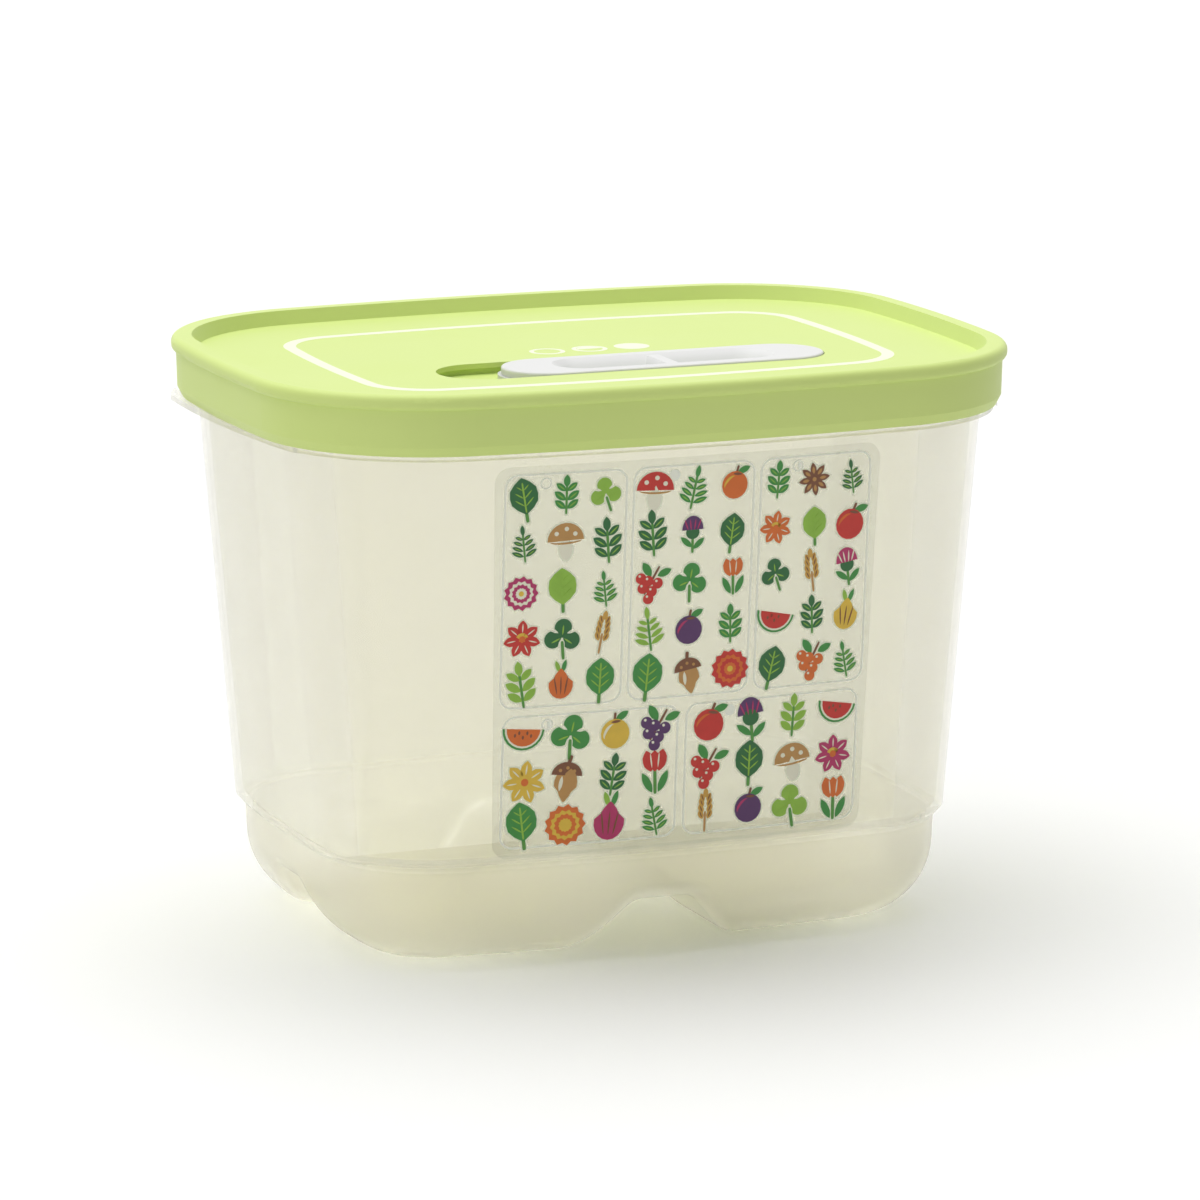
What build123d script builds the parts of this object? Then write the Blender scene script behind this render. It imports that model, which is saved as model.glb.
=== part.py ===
from build123d import *
import os

# Produce storage container: a clear tapered tub on four hollow feet, a soft lid with a
# rounded rim, and a sliding vent cover in the lid. Sizes are in millimetres.
# The origin is on the surface it stands on, under the middle. +X runs along the long
# side, -Y is the front with the printed chart, and +Z is up.

# Whole container
lid_length = 200.0
lid_width = 153.4
total_height = 147.5
corner_radius = 46.0
side_bow_radius = 580.0
end_bow_radius = 470.0

# Tub: insets are measured in from the lid's edge
wall = 1.9
wall_top_inset = 6.7
wall_foot_inset = 15.0
step_height = 28.6
step_drop = 2.75
step_inset = 2.45
bowl_draft = 1.2
bowl_round = 20.0
flange_thickness = 1.4
flange_overhang = 3.3
tab_proud = 0.2
tab_centre_y = 15.0
tab_half_width = 60.0
tab_arc_rise = 4.9
rim_height = 10.2
rim_thickness = 2.0

# Channels that cross under the tub and part its four feet
channel_height = 14.4
channel_top_width = 16.0
channel_foot_width = 41.0
channel_foot_lift = 1.1
channel_run_out = 13.0
channel_crown_radius = 6.0
channel_foot_radius = 12.0
channel_shift = -2.0
mouth_round = 5.0

# Chart film moulded into the front wall
film_top_width = 101.8
film_foot_width = 98.0
film_height = 99.0
film_bottom = 29.2
film_thickness = 0.2
film_gap = 0.02
film_corner_radius = 4.0

# Lid
skirt_depth = 15.3
skirt_inset = 1.4
skirt_draft = 0.3
skirt_thickness = 1.8
skirt_lip_inset = 1.2
skirt_lip_height = 2.4
bead_height = 3.8
bead_top_radius = 1.8
bead_foot_radius = 1.4
panel_drop = 3.5
panel_thickness = 2.2
crest_width = 5.2
crest_slope = 1.6
plug_thickness = 2.0
plug_depth = 9.2
lid_clearance = 0.35

# Vent recess in the lid and the cover that slides in it
recess_length = 103.0
recess_width = 24.0
recess_depth = 2.8
recess_x = 3.2
recess_y = -22.0
recess_undercut = 1.1
lip_thickness = 1.3
tray_wall = 1.6
vent_diameter = 5.5
vent_pitch = 7.4
vent_end_gap = 6.5
cover_length = 85.5
cover_height = 3.3
cover_clearance = 0.25
cover_edge_radius = 0.6
dish_length = 59.0
dish_width = 16.0
dish_depth = 2.1
dish_slope = 4.0
bar_top_width = 3.2
bar_foot_width = 7.0
bar_drop = 0.3

# Levels
skirt_bottom = total_height - skirt_depth
flange_bottom = skirt_bottom - flange_thickness
rim_top = skirt_bottom + rim_height
panel_top = total_height - panel_drop
panel_bottom = panel_top - panel_thickness
plug_bottom = panel_top - plug_depth
recess_floor = panel_top - recess_depth
tray_bottom = recess_floor - tray_wall
step_foot = step_height - step_drop

# Insets that the lid and the rim share
skirt_inner_inset = skirt_inset + skirt_thickness
rim_inset = skirt_inner_inset + lid_clearance
rim_inner_inset = rim_inset + rim_thickness
plug_inset = rim_inner_inset + lid_clearance
bowl_inset = wall_foot_inset + step_inset
flange_inset = wall_top_inset - flange_overhang
past = 1.0
edge_gap = 0.01

# Plan shape: four bowed sides and four corner arcs, all tangent. Every outline shares
# these centres, so an inset only shortens the radii.
side_centre = Vector(0, lid_width / 2 - side_bow_radius)
end_centre = Vector(lid_length / 2 - end_bow_radius, 0)


def find_corner_centre():
    """Centre of the corner arc that is tangent to a long side and a short side."""
    apart = (end_centre - side_centre).length
    side_reach = side_bow_radius - corner_radius
    end_reach = end_bow_radius - corner_radius
    along = (side_reach**2 - end_reach**2 + apart**2) / (2 * apart)
    across = (side_reach**2 - along**2) ** 0.5
    toward = (end_centre - side_centre).normalized()
    outward = Vector(toward.Y, -toward.X)
    return side_centre + toward * along + outward * across


corner_centre = find_corner_centre()


def outline(inset):
    """Face of the plan shape, drawn this far inside the lid's edge."""
    side_mid = Vector(0, lid_width / 2 - inset)
    end_mid = Vector(lid_length / 2 - inset, 0)
    side_join = side_centre + (corner_centre - side_centre).normalized() * (side_bow_radius - inset)
    end_join = end_centre + (corner_centre - end_centre).normalized() * (end_bow_radius - inset)
    diagonal = ((side_join + end_join) / 2 - corner_centre).normalized()
    corner_mid = corner_centre + diagonal * (corner_radius - inset)
    arcs = [
        ThreePointArc(side_join, corner_mid, end_join),
        ThreePointArc(end_join, end_mid, flip(end_join, 1, -1)),
        ThreePointArc(flip(end_join, 1, -1), flip(corner_mid, 1, -1), flip(side_join, 1, -1)),
        ThreePointArc(flip(side_join, 1, -1), flip(side_mid, 1, -1), flip(side_join, -1, -1)),
        ThreePointArc(flip(side_join, -1, -1), flip(corner_mid, -1, -1), flip(end_join, -1, -1)),
        ThreePointArc(flip(end_join, -1, -1), flip(end_mid, -1, 1), flip(end_join, -1, 1)),
        ThreePointArc(flip(end_join, -1, 1), flip(corner_mid, -1, 1), flip(side_join, -1, 1)),
        ThreePointArc(flip(side_join, -1, 1), side_mid, side_join),
    ]
    return make_face(arcs)


def flip(point, across_x, across_y):
    """The same point in another quarter of the plan."""
    return Vector(point.X * across_x, point.Y * across_y)


def tapered(*levels):
    """Solid with straight walls through outlines given as (inset, height) pairs."""
    return loft([Pos(0, 0, height) * outline(inset) for inset, height in levels], ruled=True)


def upright(inset, bottom, top):
    """Solid with vertical walls between two heights."""
    return Pos(0, 0, bottom) * extrude(outline(inset), top - bottom)


def stadium(length, width, centre_x, bottom, top):
    """Upright slot shape over the vent recess."""
    shape = SlotOverall(length, width)
    return Pos(centre_x, recess_y, bottom) * extrude(shape, top - bottom)


def channel(run_length, grow):
    """Solid of one channel along Y, with its foot edges rounded, thickened by grow."""
    half_top = channel_top_width / 2
    half_foot = channel_foot_width / 2
    half_run = half_foot + channel_run_out
    sunk = -channel_foot_lift
    corners = [
        (-half_run, sunk),
        (-half_foot, channel_foot_lift),
        (-half_top, channel_height),
        (half_top, channel_height),
        (half_foot, channel_foot_lift),
        (half_run, sunk),
    ]
    radii = [channel_foot_radius, channel_crown_radius, channel_crown_radius, channel_foot_radius]
    crown = FilletPolyline(*corners, radius=radii)
    floor = Polyline((half_run, sunk), (half_run, sunk - wall * 4), (-half_run, sunk - wall * 4), (-half_run, sunk))
    section = make_face([*crown.edges(), *floor.edges()])
    if grow:
        section = offset(section, amount=grow, kind=Kind.INTERSECTION)
    return extrude(Plane.XZ * section, run_length / 2, both=True)


def crossing_channels(grow):
    """Both channels, thickened by grow: one from front to back, one from end to end."""
    front_to_back = Pos(channel_shift, 0) * channel(lid_width, grow)
    end_to_end = Rot(0, 0, 90) * channel(lid_length, grow)
    return front_to_back + end_to_end


def rounded_bowl(inset, floor, top, radius):
    """Lower part of the tub, with the edge round its floor rounded."""
    low_inset = inset + bowl_draft
    block = tapered((low_inset, floor), (inset, top))
    return fillet(block.edges().group_by(Axis.Z)[0], radius)


def footed_bowl(inset, floor, top, radius, mouth_radius, grow):
    """Bowl parted into four feet by the channels, whose mouths are rounded."""
    bowl = rounded_bowl(inset, floor, top, radius)
    channels = crossing_channels(grow)
    footed = bowl - channels
    cut_edges = new_edges(bowl, channels, combined=footed)
    mouths = [edge for edge in cut_edges if edge.center().Z > floor + edge_gap]
    return fillet(mouths, mouth_radius)


def flange_plate():
    """Ledge under the lid's skirt, drawn out into a finger tab at each end."""
    plate = upright(flange_inset, flange_bottom, skirt_bottom)
    limit = upright(-tab_proud, flange_bottom, skirt_bottom)
    tab_root = lid_length / 2 - wall_top_inset
    for side in (-1, 1):
        front = (side * tab_root, tab_centre_y - tab_half_width)
        back = (side * tab_root, tab_centre_y + tab_half_width)
        crest = (side * (tab_root + tab_arc_rise), tab_centre_y)
        tab = extrude(make_face([ThreePointArc(front, crest, back), Line(back, front)]), flange_thickness)
        plate += Pos(0, 0, flange_bottom) * tab & limit
    return plate


def build_tub():
    """Tub: tapered walls, step, footed bowl, flange and the rim that the lid grips."""
    outside = footed_bowl(bowl_inset, 0, step_foot, bowl_round, mouth_round, 0)
    outside += tapered((bowl_inset, step_foot), (wall_foot_inset, step_height))
    outside += tapered((wall_foot_inset, step_height), (wall_top_inset, flange_bottom))
    outside += flange_plate()
    outside += upright(rim_inset, skirt_bottom, rim_top)
    # The inner step lies higher, so that the slanted step keeps its wall
    inner_foot = step_foot + wall / 2
    inner_step = step_height + wall / 2
    shoulder = skirt_bottom + wall / 2
    inner_inset = bowl_inset + wall
    inside = footed_bowl(inner_inset, wall, inner_foot, bowl_round - wall, mouth_round - wall, wall)
    inside += tapered((inner_inset, inner_foot), (wall_foot_inset + wall, inner_step))
    inside += tapered((wall_foot_inset + wall, inner_step), (wall_top_inset + wall, shoulder))
    inside += upright(rim_inner_inset, shoulder, rim_top + past)
    return outside - inside


def build_chart_film():
    """Thin printed film on the front wall, following its bow and its slope."""
    outer_face = film_gap + film_thickness
    front = tapered((wall_foot_inset - outer_face, step_height), (wall_top_inset - outer_face, flange_bottom))
    front -= tapered((wall_foot_inset - film_gap, step_height), (wall_top_inset - film_gap, flange_bottom))
    film_top = film_bottom + film_height
    half_top = film_top_width / 2
    half_foot = film_foot_width / 2
    corners = [(-half_foot, film_bottom), (half_foot, film_bottom), (half_top, film_top), (-half_top, film_top)]
    border = FilletPolyline(*corners, radius=film_corner_radius, close=True)
    window = Plane.XZ * make_face(border)
    return front & extrude(window, lid_width)


def vent_places():
    """Centres of the two vent holes, along the slide from the covered end."""
    first = recess_x + recess_length / 2 - vent_end_gap
    return [first, first - vent_pitch]


def build_lid():
    """Lid: rounded rim, sunk panel, skirt, plug wall and the vent recess."""
    rim = upright(0, total_height - bead_height, total_height)
    rim = fillet(rim.edges().group_by(Axis.Z)[-1], bead_top_radius)
    rim = fillet(rim.edges().group_by(Axis.Z)[0], bead_foot_radius)
    lip_top = skirt_bottom + skirt_lip_height
    lid = rim + tapered((skirt_inset, lip_top), (skirt_inset - skirt_draft, total_height - bead_height / 2))
    lid += tapered((skirt_inset + skirt_lip_inset, skirt_bottom), (skirt_inset, lip_top))
    lid -= tapered((crest_width + crest_slope, panel_top), (crest_width, total_height), (crest_width, total_height + past))
    groove_top = rim_top + lid_clearance
    groove = upright(skirt_inner_inset, plug_bottom, groove_top) - upright(plug_inset, plug_bottom, groove_top)
    lid -= upright(skirt_inner_inset, skirt_bottom - past, plug_bottom)
    lid -= groove
    lid -= upright(plug_inset + plug_thickness, plug_bottom, panel_bottom)
    around = 2 * (recess_undercut + tray_wall)
    lid += stadium(recess_length + around, recess_width + around, recess_x, tray_bottom, panel_bottom)
    wide = 2 * recess_undercut
    lip_bottom = panel_top - lip_thickness
    lid -= stadium(recess_length, recess_width, recess_x, recess_floor, panel_top + past)
    lid -= stadium(recess_length + wide, recess_width + wide, recess_x, recess_floor, lip_bottom)
    for place in vent_places():
        hole = Cylinder(vent_diameter / 2, tray_wall * 3)
        lid -= Pos(place, recess_y, recess_floor) * hole
    return lid


def build_vent_cover():
    """Sliding cover: a slot-shaped plate with two finger dishes, a bar and side tongues."""
    centre = recess_x + (recess_length - cover_length) / 2 - cover_clearance
    cover_top = recess_floor + cover_height
    cover_width = recess_width - 2 * cover_clearance
    tongue = 2 * (recess_undercut - cover_clearance)
    tongue_top = panel_top - lip_thickness - cover_clearance
    cover = stadium(cover_length, cover_width, centre, recess_floor, cover_top)
    cover = fillet(cover.edges().group_by(Axis.Z)[-1], cover_edge_radius)
    dish_floor = cover_top - dish_depth
    low = Pos(centre, recess_y, dish_floor) * SlotOverall(dish_length - 2 * dish_slope, dish_width - 2 * dish_slope)
    high = Pos(centre, recess_y, cover_top) * SlotOverall(dish_length, dish_width)
    dish = loft([low, high], ruled=True)
    bar_top = cover_top - bar_drop
    bar_section = Polyline(
        (-bar_foot_width / 2, dish_floor - past / 2),
        (-bar_top_width / 2, bar_top),
        (bar_top_width / 2, bar_top),
        (bar_foot_width / 2, dish_floor - past / 2),
        close=True,
    )
    bar = extrude(Plane.XZ * make_face(bar_section), dish_width, both=True)
    cover -= dish - Pos(centre, recess_y) * bar
    cover += stadium(cover_length + tongue, cover_width + tongue, centre, recess_floor, tongue_top)
    return cover


nodes = {
    "tub": build_tub,
    "chart_film": build_chart_film,
    "lid": build_lid,
    "vent_cover": build_vent_cover,
}
os.makedirs("parts", exist_ok=True)
for name, build in nodes.items():
    piece = build()
    box = piece.bounding_box()
    export_step(piece, f"parts/{name}.step")
    print(name, "solids", len(piece.solids()), "volume", round(piece.volume), "box", box.min, box.max)
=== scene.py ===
import math
import random

import bpy
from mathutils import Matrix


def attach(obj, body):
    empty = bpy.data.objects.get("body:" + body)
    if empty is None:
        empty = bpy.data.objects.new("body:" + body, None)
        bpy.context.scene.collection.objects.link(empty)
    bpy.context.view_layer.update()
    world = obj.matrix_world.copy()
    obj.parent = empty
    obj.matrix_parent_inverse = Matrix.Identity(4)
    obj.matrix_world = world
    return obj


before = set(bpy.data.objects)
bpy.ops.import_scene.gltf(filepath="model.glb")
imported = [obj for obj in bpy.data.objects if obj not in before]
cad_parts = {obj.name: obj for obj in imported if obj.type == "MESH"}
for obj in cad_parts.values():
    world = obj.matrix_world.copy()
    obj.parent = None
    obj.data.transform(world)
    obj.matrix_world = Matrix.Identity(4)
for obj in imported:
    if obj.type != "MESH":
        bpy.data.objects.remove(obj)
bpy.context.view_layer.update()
mm = 0.001
print("frame loaded", sorted(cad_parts))


# Small helpers
def clearSelection():
    if bpy.context.object and bpy.context.object.mode != "OBJECT":
        bpy.ops.object.mode_set(mode="OBJECT")
    bpy.ops.object.select_all(action="DESELECT")


def pick(piece):
    clearSelection()
    piece.select_set(True)
    bpy.context.view_layer.objects.active = piece


def joinPieces(pieces, name):
    clearSelection()
    for piece in pieces:
        piece.select_set(True)
    bpy.context.view_layer.objects.active = pieces[0]
    if len(pieces) > 1:
        bpy.ops.object.join()
    joined = bpy.context.object
    joined.name = name
    joined.data.name = name
    return joined


def applyModifiers(piece):
    pick(piece)
    for modifier in list(piece.modifiers):
        bpy.ops.object.modifier_apply(modifier=modifier.name)


def applyPlace(piece):
    pick(piece)
    bpy.ops.object.transform_apply(location=True, rotation=True, scale=True)


def editPoints(piece, test):
    # selects the points that pass the test, and leaves the piece in edit mode
    pick(piece)
    mesh = piece.data
    for flagged in (mesh.polygons, mesh.edges):
        flagged.foreach_set("select", [False] * len(flagged))
    for vertex in mesh.vertices:
        vertex.select = test(vertex)
    bpy.ops.object.mode_set(mode="EDIT")
    bpy.ops.mesh.select_mode(type="VERT")


# Camera, at the photograph's angle; places and distances in metres
cameraView = {
    "turn": -21.8,
    "tilt": 11.42,
    "distance": 1.599,
    "aim": (0.0029, -0.0012, 0.0794),
    "lens": 188.1,
    "sensor": 36,
    "nearest": 0.05,
    "farthest": 50,
}


def makeCamera(view):
    turn = math.radians(view["turn"])
    tilt = math.radians(view["tilt"])
    aim = view["aim"]
    reach = view["distance"]
    spot = (
        aim[0] + reach * math.sin(turn) * math.cos(tilt),
        aim[1] - reach * math.cos(turn) * math.cos(tilt),
        aim[2] + reach * math.sin(tilt),
    )
    bpy.ops.object.camera_add(location=spot, rotation=(math.radians(90) - tilt, 0, turn))
    camera = bpy.context.object
    camera.name = "photoCamera"
    camera.data.lens = view["lens"]
    camera.data.sensor_width = view["sensor"]
    camera.data.clip_start = view["nearest"]
    camera.data.clip_end = view["farthest"]
    bpy.context.scene.camera = camera


makeCamera(cameraView)
print("camera placed")


# Node groups that several finishes share
grainLook = {"fineDetail": 3, "broadScale": 35, "broadDetail": 4, "bumpHeight": 0.1 * mm}
tintLook = {"detail": 3}


def addToneMix(nodes, links, factor):
    mix = nodes.new("ShaderNodeMix")
    mix.data_type = "RGBA"
    links.new(factor, mix.inputs["Factor"])
    return mix


def makeGroup(name, inputs, outputs):
    group = bpy.data.node_groups.new(name, "ShaderNodeTree")
    for label, kind, value in inputs:
        socket = group.interface.new_socket(name=label, in_out="INPUT", socket_type=kind)
        if value is not None:
            socket.default_value = value
    for label, kind in outputs:
        group.interface.new_socket(name=label, in_out="OUTPUT", socket_type=kind)
    start = group.nodes.new("NodeGroupInput")
    end = group.nodes.new("NodeGroupOutput")
    return group, start, end


def makeGrainGroup(look):
    # fine moulded grain: a roughness that wanders a little and a shallow bump
    group, start, end = makeGroup(
        "mouldedGrain",
        [
            ("Vector", "NodeSocketVector", None),
            ("Grain Size", "NodeSocketFloat", 900.0),
            ("Bump", "NodeSocketFloat", 0.1),
            ("Roughness", "NodeSocketFloat", 0.4),
            ("Spread", "NodeSocketFloat", 0.1),
        ],
        [("Roughness", "NodeSocketFloat"), ("Normal", "NodeSocketVector")],
    )
    nodes = group.nodes
    links = group.links
    fine = nodes.new("ShaderNodeTexNoise")
    fine.inputs["Detail"].default_value = look["fineDetail"]
    links.new(start.outputs["Vector"], fine.inputs["Vector"])
    links.new(start.outputs["Grain Size"], fine.inputs["Scale"])
    broad = nodes.new("ShaderNodeTexNoise")
    broad.inputs["Scale"].default_value = look["broadScale"]
    broad.inputs["Detail"].default_value = look["broadDetail"]
    links.new(start.outputs["Vector"], broad.inputs["Vector"])
    centred = nodes.new("ShaderNodeMath")
    centred.operation = "SUBTRACT"
    centred.inputs[1].default_value = 0.5  # the noise's middle
    links.new(broad.outputs["Fac"], centred.inputs[0])
    wander = nodes.new("ShaderNodeMath")
    wander.operation = "MULTIPLY_ADD"
    links.new(centred.outputs[0], wander.inputs[0])
    links.new(start.outputs["Spread"], wander.inputs[1])
    links.new(start.outputs["Roughness"], wander.inputs[2])
    links.new(wander.outputs[0], end.inputs["Roughness"])
    bump = nodes.new("ShaderNodeBump")
    bump.inputs["Distance"].default_value = look["bumpHeight"]
    links.new(start.outputs["Bump"], bump.inputs["Strength"])
    links.new(fine.outputs["Fac"], bump.inputs["Height"])
    links.new(bump.outputs["Normal"], end.inputs["Normal"])
    return group


def makeTintGroup(look):
    # colour that drifts softly between two tones over the surface
    group, start, end = makeGroup(
        "softTint",
        [
            ("Vector", "NodeSocketVector", None),
            ("Tone", "NodeSocketColor", (0.8, 0.8, 0.8, 1)),
            ("Deeper Tone", "NodeSocketColor", (0.7, 0.7, 0.7, 1)),
            ("Patch Size", "NodeSocketFloat", 20.0),
        ],
        [("Color", "NodeSocketColor")],
    )
    nodes = group.nodes
    links = group.links
    cloud = nodes.new("ShaderNodeTexNoise")
    cloud.inputs["Detail"].default_value = look["detail"]
    links.new(start.outputs["Vector"], cloud.inputs["Vector"])
    links.new(start.outputs["Patch Size"], cloud.inputs["Scale"])
    mix = addToneMix(nodes, links, cloud.outputs["Fac"])
    links.new(start.outputs["Tone"], mix.inputs["A"])
    links.new(start.outputs["Deeper Tone"], mix.inputs["B"])
    links.new(mix.outputs["Result"], end.inputs["Color"])
    return group


grainGroup = makeGrainGroup(grainLook)
tintGroup = makeTintGroup(tintLook)


def startMaterial(name):
    material = bpy.data.materials.new(name)
    material.use_nodes = True
    nodes = material.node_tree.nodes
    shader = nodes["Principled BSDF"]
    place = nodes.new("ShaderNodeTexCoord")
    return material, nodes, material.node_tree.links, shader, place.outputs["Object"]


def addGroup(nodes, links, group, place, values):
    node = nodes.new("ShaderNodeGroup")
    node.node_tree = group
    links.new(place, node.inputs["Vector"])
    for label, value in values.items():
        node.inputs[label].default_value = value
    return node


def makeSatinPlastic(name, finish):
    material, nodes, links, shader, place = startMaterial(name)
    tint = addGroup(
        nodes,
        links,
        tintGroup,
        place,
        {"Tone": finish["tone"], "Deeper Tone": finish["deeperTone"], "Patch Size": finish["patch"]},
    )
    grain = addGroup(
        nodes,
        links,
        grainGroup,
        place,
        {
            "Grain Size": finish["grain"],
            "Bump": finish["bump"],
            "Roughness": finish["roughness"],
            "Spread": finish["spread"],
        },
    )
    links.new(tint.outputs["Color"], shader.inputs["Base Color"])
    links.new(grain.outputs["Roughness"], shader.inputs["Roughness"])
    links.new(grain.outputs["Normal"], shader.inputs["Normal"])
    shader.inputs["IOR"].default_value = finish["ior"]
    shader.inputs["Specular IOR Level"].default_value = finish["gloss"]
    return material


# Lid: soft, satin, pale lime
lidFinish = {
    "tone": (0.71, 0.84, 0.285, 1),
    "deeperTone": (0.67, 0.81, 0.26, 1),
    "patch": 14,
    "ior": 1.48,
    "gloss": 0.25,
    "roughness": 0.45,
    "spread": 0.12,
    "grain": 700,
    "bump": 0.25,
}

# Vent cover: white, satin, with painted shade darkening it down in its finger dishes
coverFinish = {
    "tone": (0.80, 0.80, 0.79, 1),
    "deeperTone": (0.77, 0.77, 0.76, 1),
    "patch": 30,
    # painted shade down in the finger dishes
    "dishPaintedShade": (0.64, 0.65, 0.62, 1),
    "dishFloor": 142.4 * mm,
    "dishTop": 144.3 * mm,
    "ior": 1.48,
    "gloss": 0.35,
    "roughness": 0.38,
    "spread": 0.1,
    "grain": 800,
    "bump": 0.15,
}

# Tub: clear to milky wall, frosted below the step
tubFinish = {
    "wallTone": (0.84, 0.80, 0.585, 1),
    "bowlTone": (1.0, 0.965, 0.80, 1),
    "wallAlpha": 0.36,
    "bowlAlpha": 0.48,
    "shadowPassed": 0.8,
    "transmission": 0.7,
    "ior": 1.47,
    "wallRoughness": 0.16,
    "bowlRoughness": 0.42,
    "spread": 0.1,
    "grain": 500,
    "bump": 0.15,
    "stepLow": 24.5 * mm,
    "stepHigh": 30 * mm,
}


def addHeightMask(nodes, links, place, low, high):
    # 0 up to the low height, 1 from the high one, smooth between them
    split = nodes.new("ShaderNodeSeparateXYZ")
    links.new(place, split.inputs[0])
    mask = nodes.new("ShaderNodeMapRange")
    mask.interpolation_type = "SMOOTHSTEP"
    mask.inputs["From Min"].default_value = low
    mask.inputs["From Max"].default_value = high
    links.new(split.outputs["Z"], mask.inputs["Value"])
    return mask.outputs["Result"]


def mixValues(nodes, links, factor, low, high):
    mix = nodes.new("ShaderNodeMix")
    mix.data_type = "FLOAT"
    mix.inputs["A"].default_value = low
    mix.inputs["B"].default_value = high
    links.new(factor, mix.inputs["Factor"])
    return mix.outputs["Result"]


def lightenShadow(nodes, links, alpha, passed):
    # clear plastic lets most light through, so it shades less than it shows
    path = nodes.new("ShaderNodeLightPath")
    kept = nodes.new("ShaderNodeMath")
    kept.operation = "MULTIPLY_ADD"
    kept.inputs[1].default_value = -passed
    kept.inputs[2].default_value = 1
    links.new(path.outputs["Is Shadow Ray"], kept.inputs[0])
    lightened = nodes.new("ShaderNodeMath")
    lightened.operation = "MULTIPLY"
    links.new(alpha, lightened.inputs[0])
    links.new(kept.outputs[0], lightened.inputs[1])
    return lightened.outputs[0]


def makeCoverMaterial(finish):
    # painted shade in the finger dishes: the dishes are told by their height, as they lie lower than the
    # rim, and darkened there
    material = makeSatinPlastic("whiteCoverPlastic", finish)
    nodes = material.node_tree.nodes
    links = material.node_tree.links
    shader = nodes["Principled BSDF"]
    place = nodes["Texture Coordinate"].outputs["Object"]
    # the painted shade fades in from the dish floor up to the rim
    above = addHeightMask(nodes, links, place, finish["dishFloor"], finish["dishTop"])
    tone = addToneMix(nodes, links, above)
    tone.inputs["A"].default_value = finish["dishPaintedShade"]
    links.new(shader.inputs["Base Color"].links[0].from_socket, tone.inputs["B"])
    links.new(tone.outputs["Result"], shader.inputs["Base Color"])
    return material


def makeTubMaterial(finish):
    material, nodes, links, shader, place = startMaterial("clearTubPlastic")
    above = addHeightMask(nodes, links, place, finish["stepLow"], finish["stepHigh"])
    tone = addToneMix(nodes, links, above)
    tone.inputs["A"].default_value = finish["bowlTone"]
    tone.inputs["B"].default_value = finish["wallTone"]
    links.new(tone.outputs["Result"], shader.inputs["Base Color"])
    alpha = mixValues(nodes, links, above, finish["bowlAlpha"], finish["wallAlpha"])
    links.new(lightenShadow(nodes, links, alpha, finish["shadowPassed"]), shader.inputs["Alpha"])
    roughness = mixValues(nodes, links, above, finish["bowlRoughness"], finish["wallRoughness"])
    grain = addGroup(
        nodes,
        links,
        grainGroup,
        place,
        {"Grain Size": finish["grain"], "Bump": finish["bump"], "Spread": finish["spread"]},
    )
    links.new(roughness, grain.inputs["Roughness"])
    links.new(grain.outputs["Roughness"], shader.inputs["Roughness"])
    links.new(grain.outputs["Normal"], shader.inputs["Normal"])
    shader.inputs["IOR"].default_value = finish["ior"]
    shader.inputs["Transmission Weight"].default_value = finish["transmission"]
    return material


# Chart film: thin, clear, a little milky
filmFinish = {
    "tone": (0.92, 0.93, 0.72, 1),
    "alpha": 0.16,
    "roughness": 0.3,
    "spread": 0.1,
    "grain": 900,
    "bump": 0.1,
}


def makeFilmMaterial(finish):
    material, nodes, links, shader, place = startMaterial("clearChartFilm")
    grain = addGroup(
        nodes,
        links,
        grainGroup,
        place,
        {
            "Grain Size": finish["grain"],
            "Bump": finish["bump"],
            "Roughness": finish["roughness"],
            "Spread": finish["spread"],
        },
    )
    links.new(grain.outputs["Roughness"], shader.inputs["Roughness"])
    links.new(grain.outputs["Normal"], shader.inputs["Normal"])
    shader.inputs["Base Color"].default_value = finish["tone"]
    shader.inputs["Alpha"].default_value = finish["alpha"]
    return material


def dress(node, material):
    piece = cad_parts[node]
    piece.data.materials.clear()
    piece.data.materials.append(material)


dress("lid", makeSatinPlastic("softLidPlastic", lidFinish))
dress("tub", makeTubMaterial(tubFinish))
dress("vent_cover", makeCoverMaterial(coverFinish))
dress("chart_film", makeFilmMaterial(filmFinish))
print("finishes set")


# Inks of the prints, each a little uneven as printed ink is; a pale ink drifts less
inkLook = {
    "patch": 420,
    "ior": 1.5,
    "gloss": 0.5,
    "roughness": 0.4,
    "spread": 0.1,
    "grain": 900,
    "bump": 0.05,
    "deeper": 0.8,
    "paleFrom": 0.5,
    "paleDeeper": 0.96,
    "tones": {
        "deepGreen": (0.02, 0.15, 0.035),
        "leafGreen": (0.05, 0.30, 0.05),
        "lime": (0.32, 0.58, 0.06),
        "stem": (0.10, 0.33, 0.05),
        "red": (0.66, 0.035, 0.022),
        "orange": (0.78, 0.17, 0.02),
        "yellow": (0.85, 0.57, 0.06),
        "violet": (0.10, 0.03, 0.13),
        "rose": (0.52, 0.03, 0.14),
        "tan": (0.58, 0.31, 0.09),
        "brown": (0.22, 0.08, 0.03),
        "gold": (0.70, 0.40, 0.07),
        "cream": (0.88, 0.86, 0.68),
        "halo": (0.92, 0.94, 0.74),
        "paleLine": (0.95, 0.97, 0.84),
        "lidCream": (0.95, 0.99, 0.76),
    },
}


def makeInk(name, look):
    tone = look["tones"][name]
    deeper = look["paleDeeper"] if min(tone) > look["paleFrom"] else look["deeper"]
    finish = dict(look)
    finish["tone"] = (*tone, 1)
    finish["deeperTone"] = (tone[0] * deeper, tone[1] * deeper, tone[2] * deeper, 1)
    return makeSatinPlastic(name + "Ink", finish)


inks = {name: makeInk(name, inkLook) for name in inkLook["tones"]}
print("inks mixed", len(inks))


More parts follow.
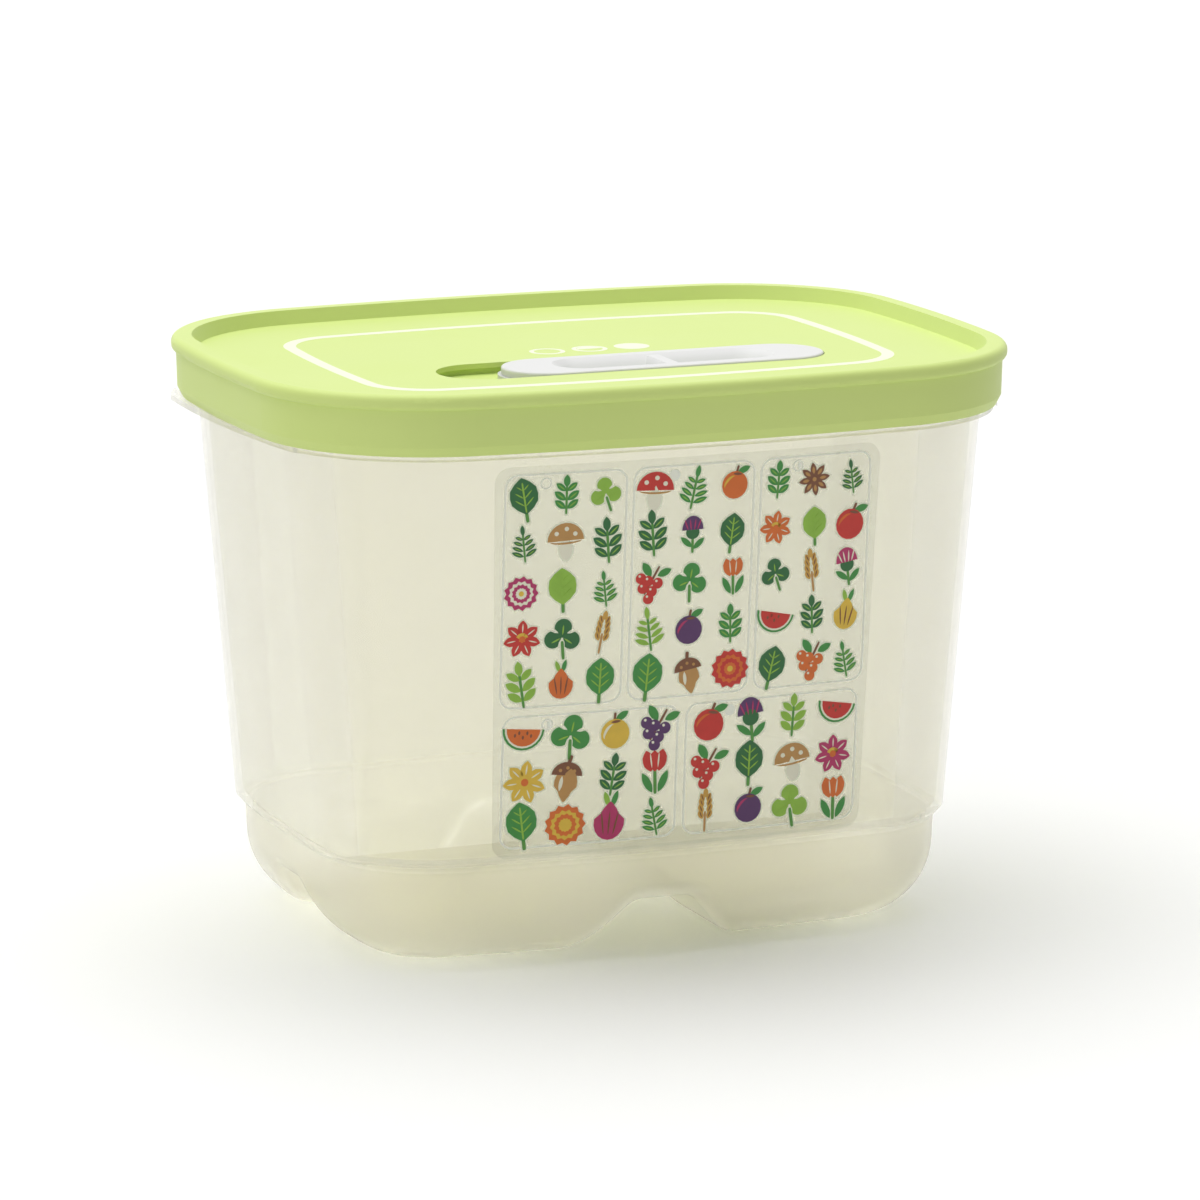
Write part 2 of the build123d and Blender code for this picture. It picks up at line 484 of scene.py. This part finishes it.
# Shapes that the prints are stamped with, each modelled once, 1 across before its edges are drawn in
shapeLook = {
    "disc": {"sides": 18},
    "leaf": {"sides": 16, "drawnIn": [(0.3, 0.8), (0.4, 0.6)]},
    "drop": {"sides": 18, "neck": 0.2, "neckWide": 0.66, "tip": 0.4, "tipWide": 0.5, "tipRise": 0.08},
    "half": {"sides": 24},
    "crescent": {"sides": 24, "foldBelow": -0.01, "fold": -0.45},
    "frill": {"sides": 26, "notch": 0.86},
    "strip": {"corner": 0.2, "cornerSteps": 2},
    "ring": {"sides": 24, "wide": 0.13},
}


def startShape(sides):
    clearSelection()
    bpy.ops.mesh.primitive_circle_add(vertices=sides, radius=0.5, fill_type="NGON")
    return bpy.context.object


def moveShape(shape, test, scale=(1, 1, 1), shift=(0, 0, 0)):
    editPoints(shape, test)
    bpy.ops.transform.resize(value=scale, center_override=(0, 0, 0))
    bpy.ops.transform.translate(value=shift)
    bpy.ops.object.mode_set(mode="OBJECT")


def makeDisc(look):
    return startShape(look["sides"])


def makeLeaf(look):
    shape = startShape(look["sides"])
    for beyond, wide in look["drawnIn"]:
        moveShape(shape, lambda vertex: abs(vertex.co.y) > beyond, scale=(wide, 1, 1))
    return shape


def makeDrop(look):
    shape = startShape(look["sides"])
    rise = (0, look["tipRise"], 0)
    moveShape(shape, lambda vertex: vertex.co.y > look["neck"], scale=(look["neckWide"], 1, 1))
    moveShape(shape, lambda vertex: vertex.co.y > look["tip"], scale=(look["tipWide"], 1, 1), shift=rise)
    return shape


def makeHalf(look):
    shape = startShape(look["sides"])
    editPoints(shape, lambda vertex: True)
    bpy.ops.mesh.bisect(plane_co=(0, 0, 0), plane_no=(0, 1, 0), clear_inner=True)
    bpy.ops.object.mode_set(mode="OBJECT")
    return shape


def makeCrescent(look):
    shape = startShape(look["sides"])
    moveShape(shape, lambda vertex: vertex.co.y < look["foldBelow"], scale=(1, look["fold"], 1))
    return shape


def makeFrill(look):
    shape = startShape(look["sides"])
    moveShape(shape, lambda vertex: vertex.index % 2 == 1, scale=(look["notch"], look["notch"], 1))
    return shape


def makeStrip(look):
    clearSelection()
    bpy.ops.mesh.primitive_plane_add(size=1)
    shape = bpy.context.object
    editPoints(shape, lambda vertex: True)
    bpy.ops.mesh.bevel(offset=look["corner"], segments=look["cornerSteps"], affect="VERTICES")
    bpy.ops.object.mode_set(mode="OBJECT")
    return shape


def makeRing(look):
    shape = startShape(look["sides"])
    editPoints(shape, lambda vertex: True)
    bpy.ops.mesh.select_mode(type="FACE")
    bpy.ops.mesh.inset(thickness=look["wide"])
    bpy.ops.mesh.delete(type="FACE")
    bpy.ops.object.mode_set(mode="OBJECT")
    return shape


shapes = {
    "disc": makeDisc(shapeLook["disc"]),
    "leaf": makeLeaf(shapeLook["leaf"]),
    "drop": makeDrop(shapeLook["drop"]),
    "half": makeHalf(shapeLook["half"]),
    "crescent": makeCrescent(shapeLook["crescent"]),
    "frill": makeFrill(shapeLook["frill"]),
    "strip": makeStrip(shapeLook["strip"]),
    "ring": makeRing(shapeLook["ring"]),
}


def copyShape(name):
    piece = shapes[name].copy()
    piece.data = shapes[name].data.copy()
    bpy.context.collection.objects.link(piece)
    return piece


# Motifs up to about 12 units high, each a body and the detail drawn on it, in stamps.
# A stamp is shape, x, z, width, height, turn and ink. "main" is the motif's own ink, and "blush" a touch
# that goes with it.
def ringOf(count, reach, width, height, ink, start=0):
    parts = []
    for index in range(count):
        turn = start + 360 * index / count
        way = math.radians(turn)
        parts.append(("leaf", reach * math.sin(way), reach * math.cos(way), width, height, turn, ink))
    return parts


def pairsOf(rows, spread, ink):
    # a row is height on the stem, reach to each side, leaf width and leaf length
    parts = []
    for z, reach, width, height in rows:
        for side in (-1, 1):
            parts.append(("leaf", side * reach, z, width, height, side * spread, ink))
    return parts


def dotsOf(places, size, ink):
    return [("disc", x, z, size, size, 0, ink) for x, z in places]


fernRows = [(-3.0, 2.0, 1.3, 3.9), (-1.4, 1.9, 1.2, 3.6), (0.2, 1.6, 1.1, 3.1), (1.7, 1.2, 1.0, 2.5)]
sprigRows = [(-2.5, 1.9, 2.0, 4.2), (0.1, 2.0, 2.1, 4.4), (2.7, 1.7, 1.8, 3.8)]
earRows = [(-0.8, 1.2, 1.5, 2.7), (0.8, 1.2, 1.5, 2.7), (2.4, 1.1, 1.4, 2.6), (3.8, 0.9, 1.3, 2.4)]
berryPlaces = [(-1.7, -1.2), (1.0, -1.8), (-0.5, 0.9), (2.3, 0.6), (-2.7, 1.4), (0.4, -3.9)]
pipPlaces = [(-2.2, 0.9), (0, 0.4), (2.2, 0.9), (-1.1, 1.6), (1.1, 1.6)]

motifs = {
    "sprig": {
        "body": [("strip", 0, -0.8, 0.7, 9.4, 0, "stem")]
        + pairsOf(sprigRows, 52, "main")
        + [("leaf", 0, 4.5, 2.0, 3.8, 0, "main")],
        "detail": pairsOf([(z, reach, 0.3, 2.8) for z, reach, _, _ in sprigRows], 52, "lime"),
    },
    "broadLeaf": {
        "body": [("strip", 0, -4.6, 0.9, 3.4, 0, "stem"), ("leaf", 0, 0.8, 7.6, 9.8, 0, "main")],
        "detail": [("strip", 0, 0.4, 0.45, 8.0, 0, "lime")]
        + pairsOf([(-0.9, 1.3, 0.35, 3.2), (1.1, 1.2, 0.35, 2.9), (3.0, 0.9, 0.3, 2.0)], 50, "lime"),
    },
    "fern": {
        "body": [("strip", 0, -0.6, 0.6, 10, 0, "stem")]
        + pairsOf(fernRows, 62, "main")
        + [("leaf", 0, 3.9, 1.3, 3.2, 0, "main")],
        "detail": pairsOf([(z, reach, 0.25, length * 0.6) for z, reach, _, length in fernRows], 62, "lime"),
    },
    "clover": {
        "body": [("strip", 0.5, -3.4, 0.8, 4.8, -10, "stem")]
        + [("drop", 0, 2.5, 4.6, 4.6, 180, "main")]
        + [("drop", side * 2.4, -0.7, 4.6, 4.6, side * -60, "main") for side in (-1, 1)],
        "detail": ringOf(3, 1.9, 0.4, 2.6, "lime"),
    },
    "mushroom": {
        "body": [("drop", 0, -2.2, 3.6, 6.0, 0, "cream"), ("half", 0, 0.0, 10, 9.6, 0, "main")],
        "detail": [("crescent", 0, -0.1, 8.6, 1.7, 180, "tan")]
        + dotsOf([(-2.5, 2.1), (0.3, 3.2), (2.6, 1.7)], 1.2, "cream"),
    },
    "tulip": {
        "body": [("strip", 0, -2.6, 0.8, 5.6, 0, "stem")]
        + [("leaf", side * 1.9, -2.6, 1.8, 5.4, side * 26, "leafGreen") for side in (-1, 1)]
        + [("leaf", side * 1.5, 2.5, 2.8, 5.2, side * 12, "main") for side in (-1, 1)]
        + [("leaf", 0, 2.4, 2.9, 5.0, 0, "main")],
        "detail": [("leaf", side * 0.9, 2.6, 0.35, 3.6, side * 6, "cream") for side in (-1, 1)],
    },
    "wheatEar": {
        "body": [("strip", 0, -2.8, 0.6, 5.6, 0, "tan")]
        + pairsOf(earRows, 22, "main")
        + [("leaf", 0, 5.0, 1.4, 2.6, 0, "main")],
        "detail": pairsOf([(z, reach, 0.3, 1.7) for z, reach, _, _ in earRows], 22, "brown"),
    },
    "acorn": {
        "body": [("strip", 0.3, 4.4, 0.9, 2.4, 12, "brown"), ("drop", 0, -1.2, 5.6, 7.6, 180, "main")]
        + [("half", 0, 0.8, 7.4, 6.4, 0, "brown")],
        "detail": [("leaf", -1.2, -1.2, 0.9, 3.6, 4, "cream")]
        + dotsOf([(-1.7, 1.9), (0, 2.6), (1.7, 1.9)], 0.8, "tan"),
    },
    "melonSlice": {
        "body": [("half", 0, 2.6, 11.4, 11.4, 180, "leafGreen")],
        "detail": [("half", 0, 2.6, 10.2, 10.2, 180, "cream"), ("half", 0, 2.6, 9.2, 9.2, 180, "main")]
        + [("leaf", x, z, 0.6, 1.1, 0, "brown") for x, z in pipPlaces],
    },
    "plum": {
        "body": [("strip", 0.3, 4.0, 0.7, 2.6, 12, "brown"), ("leaf", 2.3, 4.1, 1.9, 4.2, 62, "leafGreen")]
        + [("disc", 0, -0.5, 8.0, 8.2, 0, "main")],
        "detail": [("crescent", -1.6, 0.3, 4.6, 2.6, -52, "blush")]
        + [("leaf", 0.5, 2.8, 2.6, 0.8, 0, "brown")],
    },
    "berryTwig": {
        "body": [("strip", 0.5, 1.2, 0.6, 8.6, 20, "brown")]
        + [("leaf", -1.4, 4.0, 2.2, 4.6, -40, "leafGreen"), ("leaf", 3.7, 3.7, 2.0, 4.2, 58, "leafGreen")]
        + [("disc", x, z, 3.0, 3.0, 0, "main") for x, z in berryPlaces],
        "detail": dotsOf([(x - 0.5, z + 0.6) for x, z in berryPlaces], 0.7, "cream"),
    },
    "bulb": {
        "body": [("leaf", -1.0, 4.6, 1.3, 3.8, -20, "lime"), ("leaf", 0.9, 4.7, 1.3, 4.0, 16, "leafGreen")]
        + [("drop", 0, -0.8, 7.4, 8.4, 0, "main")],
        "detail": [("leaf", side * 1.6, -1.0, 0.4, 5.6, side * 10, "brown") for side in (-1, 0, 1)],
    },
    "flowerHead": {
        "body": ringOf(7, 3.0, 2.8, 4.8, "main") + [("disc", 0, 0, 3.6, 3.6, 0, "yellow")],
        "detail": [("frill", 0, 0, 2.0, 2.0, 0, "orange")] + ringOf(7, 3.2, 0.35, 2.6, "cream"),
    },
    "dahlia": {
        "body": [("frill", 0, 0, 10, 10, 0, "main")],
        "detail": [("frill", 0, 0, 7.4, 7.4, 7, "blush"), ("frill", 0, 0, 5.6, 5.6, 0, "main")]
        + [("frill", 0, 0, 3.4, 3.4, 7, "blush"), ("disc", 0, 0, 1.5, 1.5, 0, "yellow")],
    },
    "starPod": {
        "body": ringOf(8, 2.7, 2.0, 4.8, "main"),
        "detail": ringOf(8, 2.8, 0.9, 2.2, "tan") + [("disc", 0, 0, 1.3, 1.3, 0, "tan")],
    },
    "thistle": {
        "body": [("strip", 0, -3.2, 0.8, 5.4, 0, "stem"), ("leaf", -1.9, -2.6, 1.7, 4.8, -48, "leafGreen")]
        + [("leaf", 1.9, -3.2, 1.7, 4.6, 48, "leafGreen"), ("disc", 0, 0.2, 4.2, 4.0, 0, "deepGreen")]
        + [("half", 0, 1.0, 6.6, 8.4, 0, "main")],
        "detail": [("leaf", x, 2.6, 0.4, 3.4, x * 10, "blush") for x in (-2.0, -0.7, 0.7, 2.0)],
    },
}

# The touch that goes with each main ink; any other ink gets cream
blushOf = {"red": "orange", "rose": "cream", "violet": "rose", "orange": "yellow", "yellow": "cream"}

# How the chart is printed, in mm and degrees: stamps start in front of the wall and are laid on the film
# in thin levels, one over another
chartLook = {
    "stampFrom": -78,
    "levelStep": 0.012,
    "sink": 0.06,
    "haloWide": 0.8,
    "haloLevels": 5,
    "bodyLevels": 6,
    "detailLevels": 4,
    "lineWide": 0.5,
    "cornerSize": 3.4,
    "cornerSteps": 6,
    "lineCuts": 5,
    "cellFill": 11.0,
    "smallest": 0.86,
    "largest": 1.06,
    "wander": 0.5,
    "tilt": 12,
    "seed": 7,
    "markSize": 3.0,
    "markHalfShare": 0.62,
    "markDrop": 2.6,
}

# Panels of the chart, in mm on the front wall, with their motifs and inks row by row
chartPanels = [
    {
        "left": -48.4,
        "right": -17.0,
        "low": 67.4,
        "high": 126.4,
        "columns": 3,
        "mark": "ring",
        "motifs": [
            ("broadLeaf", "deepGreen"), ("sprig", "leafGreen"), ("clover", "lime"),
            ("fern", "deepGreen"), ("mushroom", "tan"), ("sprig", "deepGreen"),
            ("dahlia", "rose"), ("broadLeaf", "lime"), ("fern", "leafGreen"),
            ("flowerHead", "red"), ("clover", "deepGreen"), ("wheatEar", "gold"),
            ("sprig", "lime"), ("bulb", "orange"), ("broadLeaf", "leafGreen"),
        ],
    },
    {
        "left": -15.6,
        "right": 16.6,
        "low": 67.4,
        "high": 126.4,
        "columns": 3,
        "mark": "disc",
        "motifs": [
            ("mushroom", "red"), ("fern", "leafGreen"), ("plum", "orange"),
            ("sprig", "deepGreen"), ("thistle", "violet"), ("broadLeaf", "deepGreen"),
            ("berryTwig", "red"), ("clover", "leafGreen"), ("tulip", "orange"),
            ("fern", "lime"), ("plum", "violet"), ("sprig", "leafGreen"),
            ("broadLeaf", "leafGreen"), ("acorn", "tan"), ("dahlia", "red"),
        ],
    },
    {
        "left": 18.0,
        "right": 48.4,
        "low": 67.4,
        "high": 126.4,
        "columns": 3,
        "mark": "half",
        "motifs": [
            ("sprig", "leafGreen"), ("starPod", "brown"), ("fern", "deepGreen"),
            ("flowerHead", "orange"), ("broadLeaf", "lime"), ("plum", "red"),
            ("clover", "deepGreen"), ("wheatEar", "gold"), ("thistle", "rose"),
            ("melonSlice", "red"), ("sprig", "deepGreen"), ("bulb", "yellow"),
            ("broadLeaf", "deepGreen"), ("berryTwig", "orange"), ("fern", "leafGreen"),
        ],
    },
    {
        "left": -47.4,
        "right": -1.6,
        "low": 31.6,
        "high": 65.6,
        "columns": 4,
        "mark": "half",
        "motifs": [
            ("melonSlice", "orange"), ("clover", "leafGreen"), ("plum", "yellow"), ("berryTwig", "violet"),
            ("flowerHead", "yellow"), ("acorn", "tan"), ("sprig", "deepGreen"), ("tulip", "red"),
            ("broadLeaf", "leafGreen"), ("dahlia", "orange"), ("bulb", "rose"), ("fern", "leafGreen"),
        ],
    },
    {
        "left": 0.2,
        "right": 47.4,
        "low": 31.6,
        "high": 65.6,
        "columns": 4,
        "mark": "disc",
        "motifs": [
            ("plum", "red"), ("thistle", "violet"), ("sprig", "lime"), ("melonSlice", "red"),
            ("berryTwig", "red"), ("broadLeaf", "deepGreen"), ("mushroom", "tan"), ("flowerHead", "rose"),
            ("wheatEar", "gold"), ("plum", "violet"), ("clover", "lime"), ("tulip", "orange"),
        ],
    },
]


def stamp(levels, level, shape, place, size, turn, ink, look):
    piece = copyShape(shape)
    piece.location = (place[0] * mm, look["stampFrom"] * mm, place[1] * mm)
    piece.rotation_euler = (math.radians(90), math.radians(turn), 0)
    piece.scale = (size[0] * mm, size[1] * mm, 1)
    piece.data.materials.clear()
    piece.data.materials.append(inks[ink])
    levels.setdefault(level, []).append(piece)


def stampMotif(levels, name, ink, centre, size, turn, look):
    # halos lie lowest, then the bodies, then what is drawn on them
    way = math.radians(turn)
    own = {"main": ink, "blush": blushOf.get(ink, "cream")}
    haloLevels = look["haloLevels"]
    bodyTop = haloLevels + look["bodyLevels"]
    motif = motifs[name]

    def put(part, level, grow, partInk):
        shape, x, z, width, height, partTurn, _ = part
        place = (
            centre[0] + size * (x * math.cos(way) + z * math.sin(way)),
            centre[1] + size * (z * math.cos(way) - x * math.sin(way)),
        )
        stampSize = (width * size + grow, height * size + grow)
        stamp(levels, level, shape, place, stampSize, turn + partTurn, partInk, look)

    for index, part in enumerate(motif["body"]):
        put(part, index % haloLevels, look["haloWide"], "halo")
        put(part, haloLevels + index % look["bodyLevels"], 0, own.get(part[6], part[6]))
    for index, part in enumerate(motif["detail"]):
        put(part, bodyTop + index % look["detailLevels"], 0, own.get(part[6], part[6]))


def stampPanelMark(levels, panel, cellWide, look):
    # the vent setting that suits a panel: a disc, a ring or a half-filled ring, as on the lid
    centre = (panel["left"] + cellWide, panel["high"] - look["markDrop"])
    size = look["markSize"]
    outline = "disc" if panel["mark"] == "disc" else "ring"
    stamp(levels, 0, outline, centre, (size, size), 0, "paleLine", look)
    if panel["mark"] == "half":
        fill = size * look["markHalfShare"]
        stamp(levels, 0, "half", centre, (fill, fill), 90, "paleLine", look)


def makePanelLine(panel, look):
    # a plane with rounded corners, inset to a thin line and cut finely, to bend with the wall
    middleX = (panel["left"] + panel["right"]) / 2
    middleZ = (panel["low"] + panel["high"]) / 2
    clearSelection()
    bpy.ops.mesh.primitive_plane_add(
        size=1,
        location=(middleX * mm, look["stampFrom"] * mm, middleZ * mm),
        rotation=(math.radians(90), 0, 0),
    )
    line = bpy.context.object
    line.scale = ((panel["right"] - panel["left"]) * mm, (panel["high"] - panel["low"]) * mm, 1)
    applyPlace(line)
    editPoints(line, lambda vertex: True)
    bpy.ops.mesh.bevel(offset=look["cornerSize"] * mm, segments=look["cornerSteps"], affect="VERTICES")
    bpy.ops.mesh.select_all(action="SELECT")
    bpy.ops.mesh.select_mode(type="FACE")
    bpy.ops.mesh.inset(thickness=look["lineWide"] * mm)
    bpy.ops.mesh.delete(type="FACE")
    bpy.ops.mesh.select_all(action="SELECT")
    bpy.ops.mesh.subdivide(number_cuts=look["lineCuts"])
    bpy.ops.object.mode_set(mode="OBJECT")
    line.data.materials.append(inks["paleLine"])
    return line


def giveInkBody(piece, thickness):
    body = piece.modifiers.new("inkBody", "SOLIDIFY")
    body.thickness = thickness
    body.offset = -1
    applyModifiers(piece)


def layOnFilm(piece, rise, look):
    # pressed along Y onto the film, then thickened inwards to sink a little into it
    wrap = piece.modifiers.new("ontoFilm", "SHRINKWRAP")
    wrap.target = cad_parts["chart_film"]
    wrap.wrap_method = "PROJECT"
    wrap.use_project_x = False
    wrap.use_project_y = True
    wrap.use_project_z = False
    wrap.use_positive_direction = True
    wrap.use_negative_direction = False
    wrap.offset = rise * mm
    giveInkBody(piece, (rise + look["sink"]) * mm)


def makeChartMotifs(panels, look):
    rng = random.Random(look["seed"])
    levels = {}
    for panel in panels:
        rows = math.ceil(len(panel["motifs"]) / panel["columns"])
        cellWide = (panel["right"] - panel["left"]) / panel["columns"]
        cellHigh = (panel["high"] - panel["low"]) / rows
        size = min(cellWide, cellHigh) / look["cellFill"]
        stampPanelMark(levels, panel, cellWide, look)
        for index, (name, ink) in enumerate(panel["motifs"]):
            column = index % panel["columns"]
            row = index // panel["columns"]
            centre = (
                panel["left"] + (column + 0.5) * cellWide + rng.uniform(-1, 1) * look["wander"],
                panel["high"] - (row + 0.5) * cellHigh + rng.uniform(-1, 1) * look["wander"],
            )
            motifSize = size * rng.uniform(look["smallest"], look["largest"])
            turn = rng.uniform(-1, 1) * look["tilt"]
            stampMotif(levels, name, ink, centre, motifSize, turn, look)
    layers = []
    for level in sorted(levels):
        layer = joinPieces(levels[level], "inkLayer")
        applyPlace(layer)
        layOnFilm(layer, (level + 1) * look["levelStep"], look)
        layers.append(layer)
    return joinPieces(layers, "chart_motifs")


def makeChartLines(panels, look):
    lines = joinPieces([makePanelLine(panel, look) for panel in panels], "chart_lines")
    layOnFilm(lines, look["levelStep"], look)
    return lines


chartMotifs = makeChartMotifs(chartPanels, chartLook)
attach(chartMotifs, "tub")
chartLines = makeChartLines(chartPanels, chartLook)
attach(chartLines, "tub")
print("chart printed", len(chartMotifs.data.polygons))


# Border line on the lid's panel, in mm: a short bar spun round each arc of the outline in turn.
# The lid's outline has a wide arc for each end and side, and a tighter one at each corner.
borderLook = {
    "inset": 28.4,
    "wide": 3.2,
    "level": 144.0,
    "rise": 0.03,
    "sink": 0.06,
    "halfLength": 100,
    "cornerCentre": (53.08, 28.04),
    "sideCentre": 503.3,
    "endCentre": 370,
    "cornerSteps": 12,
    "sideSteps": 14,
    "halfEndSteps": 3,
    "mergeWithin": 0.01,
}


def makeBorderPrint(look):
    # a plane with its back points deleted leaves the bar, at the right end of the outline
    outer = look["halfLength"] - look["inset"]
    wide = look["wide"]
    height = look["level"] + look["rise"]
    clearSelection()
    bpy.ops.mesh.primitive_plane_add(
        size=wide * mm, location=((outer - wide / 2) * mm, wide / 2 * mm, height * mm)
    )
    line = bpy.context.object
    applyPlace(line)
    editPoints(line, lambda vertex: vertex.co.y > wide / 2 * mm)
    bpy.ops.mesh.delete(type="VERT")
    bpy.ops.mesh.select_all(action="SELECT")
    cornerX, cornerY = look["cornerCentre"]
    side = look["sideCentre"]
    end = look["endCentre"]
    endTurn = math.atan2(cornerY, cornerX + end)
    sideTurn = math.atan2(cornerX, cornerY + side)
    cornerTurn = math.radians(90) - endTurn - sideTurn
    cornerSteps = look["cornerSteps"]
    sideSteps = look["sideSteps"]
    halfEndSteps = look["halfEndSteps"]
    arcs = [
        (-end, 0, endTurn, halfEndSteps),
        (cornerX, cornerY, cornerTurn, cornerSteps),
        (0, -side, 2 * sideTurn, sideSteps),
        (-cornerX, cornerY, cornerTurn, cornerSteps),
        (end, 0, 2 * endTurn, 2 * halfEndSteps),
        (-cornerX, -cornerY, cornerTurn, cornerSteps),
        (0, side, 2 * sideTurn, sideSteps),
        (cornerX, -cornerY, cornerTurn, cornerSteps),
        (-end, 0, endTurn, halfEndSteps),
    ]
    for centreX, centreY, turn, steps in arcs:
        centre = (centreX * mm, centreY * mm, look["level"] * mm)
        bpy.ops.mesh.spin(steps=steps, angle=-turn, center=centre, axis=(0, 0, 1))
    bpy.ops.mesh.select_all(action="SELECT")
    bpy.ops.mesh.remove_doubles(threshold=look["mergeWithin"] * mm)
    bpy.ops.mesh.normals_make_consistent(inside=False)
    bpy.ops.object.mode_set(mode="OBJECT")
    return line


# Three vent marks behind the recess, in mm: each is its x, its y and the shapes that make it up
markLook = {
    "marks": [(-10.5, 1.2, ["ring"]), (1.0, 1.2, ["ring", "half"]), (12.5, 1.2, ["disc"])],
    "size": 9.2,
    "halfShare": 0.7,
}


def makeVentMarks(look, border):
    pieces = []
    height = border["level"] + border["rise"]
    for x, y, names in look["marks"]:
        for name in names:
            piece = copyShape(name)
            share = look["halfShare"] if name == "half" else 1
            size = look["size"] * share * mm
            piece.location = (x * mm, y * mm, height * mm)
            piece.scale = (size, size, 1)
            pieces.append(piece)
    joined = joinPieces(pieces, "ventMarks")
    applyPlace(joined)
    return joined


def makeLidPrint(border, marks):
    lidPrint = joinPieces([makeBorderPrint(border), makeVentMarks(marks, border)], "lid_print")
    giveInkBody(lidPrint, (border["rise"] + border["sink"]) * mm)
    lidPrint.data.materials.clear()
    lidPrint.data.materials.append(inks["lidCream"])
    return lidPrint


lidPrint = makeLidPrint(borderLook, markLook)
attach(lidPrint, "lid")
for shape in shapes.values():
    bpy.data.objects.remove(shape, do_unlink=True)
print("lid printed", len(lidPrint.data.polygons))


# Floor and light, in metres and degrees; "toward" is roughly the way to each sun
floorLook = {
    "size": 14,
    "seenTone": (0.98, 0.98, 0.975, 1),
    "tone": (0.78, 0.78, 0.77, 1),
    "roughness": 0.6,
    "gloss": 0.2,
}
lightLook = {
    "suns": [
        {"name": "softSun", "toward": (-0.04, 0.26, 1.0), "strength": 2.28, "angle": 65},
        {"name": "sideSun", "toward": (-1.0, -0.25, 0.8), "strength": 0.56, "angle": 70},
    ],
    "sky": 0.24,
    "seenSky": 1,
}


def seenPlainly(nodes, links):
    # 1 where the camera, gloss or clear plastic sees the surface, 0 for the light it throws back
    path = nodes.new("ShaderNodeLightPath")
    seen = path.outputs["Is Camera Ray"]
    for ray in ("Is Glossy Ray", "Is Transmission Ray"):
        either = nodes.new("ShaderNodeMath")
        either.operation = "MAXIMUM"
        links.new(seen, either.inputs[0])
        links.new(path.outputs[ray], either.inputs[1])
        seen = either.outputs[0]
    return seen


def makeFloor(look):
    bpy.ops.mesh.primitive_plane_add(size=look["size"], location=(0, 0, 0))
    floor = bpy.context.object
    floor.name = "floor"
    material, nodes, links, shader, _ = startMaterial("paleFloor")
    tone = addToneMix(nodes, links, seenPlainly(nodes, links))
    tone.inputs["A"].default_value = look["tone"]
    tone.inputs["B"].default_value = look["seenTone"]
    links.new(tone.outputs["Result"], shader.inputs["Base Color"])
    shader.inputs["Roughness"].default_value = look["roughness"]
    shader.inputs["Specular IOR Level"].default_value = look["gloss"]
    floor.data.materials.append(material)


def makeSun(look):
    bpy.ops.object.light_add(type="SUN")
    sun = bpy.context.object
    sun.name = look["name"]
    sun.data.energy = look["strength"]
    sun.data.angle = math.radians(look["angle"])
    toward = look["toward"]
    sun.rotation_euler = (
        -math.atan2(toward[1], toward[2]),
        math.atan2(toward[0], math.hypot(toward[1], toward[2])),
        0,
    )


def makeRoom(look):
    # a plain room that is white where the camera, gloss and clear plastic see it
    world = bpy.data.worlds.new("paleRoom")
    bpy.context.scene.world = world
    world.use_nodes = True
    nodes = world.node_tree.nodes
    links = world.node_tree.links
    nodes.clear()
    end = nodes.new("ShaderNodeOutputWorld")
    sky = nodes.new("ShaderNodeBackground")
    sky.inputs["Color"].default_value = (1, 1, 1, 1)
    sky.inputs["Strength"].default_value = look["sky"]
    seen = nodes.new("ShaderNodeBackground")
    seen.inputs["Color"].default_value = (1, 1, 1, 1)
    seen.inputs["Strength"].default_value = look["seenSky"]
    mix = nodes.new("ShaderNodeMixShader")
    links.new(seenPlainly(nodes, links), mix.inputs[0])
    links.new(sky.outputs[0], mix.inputs[1])
    links.new(seen.outputs[0], mix.inputs[2])
    links.new(mix.outputs[0], end.inputs[0])


makeFloor(floorLook)
for sunLook in lightLook["suns"]:
    makeSun(sunLook)
makeRoom(lightLook)
bpy.context.scene.view_settings.view_transform = "Standard"
print("floor and light set")
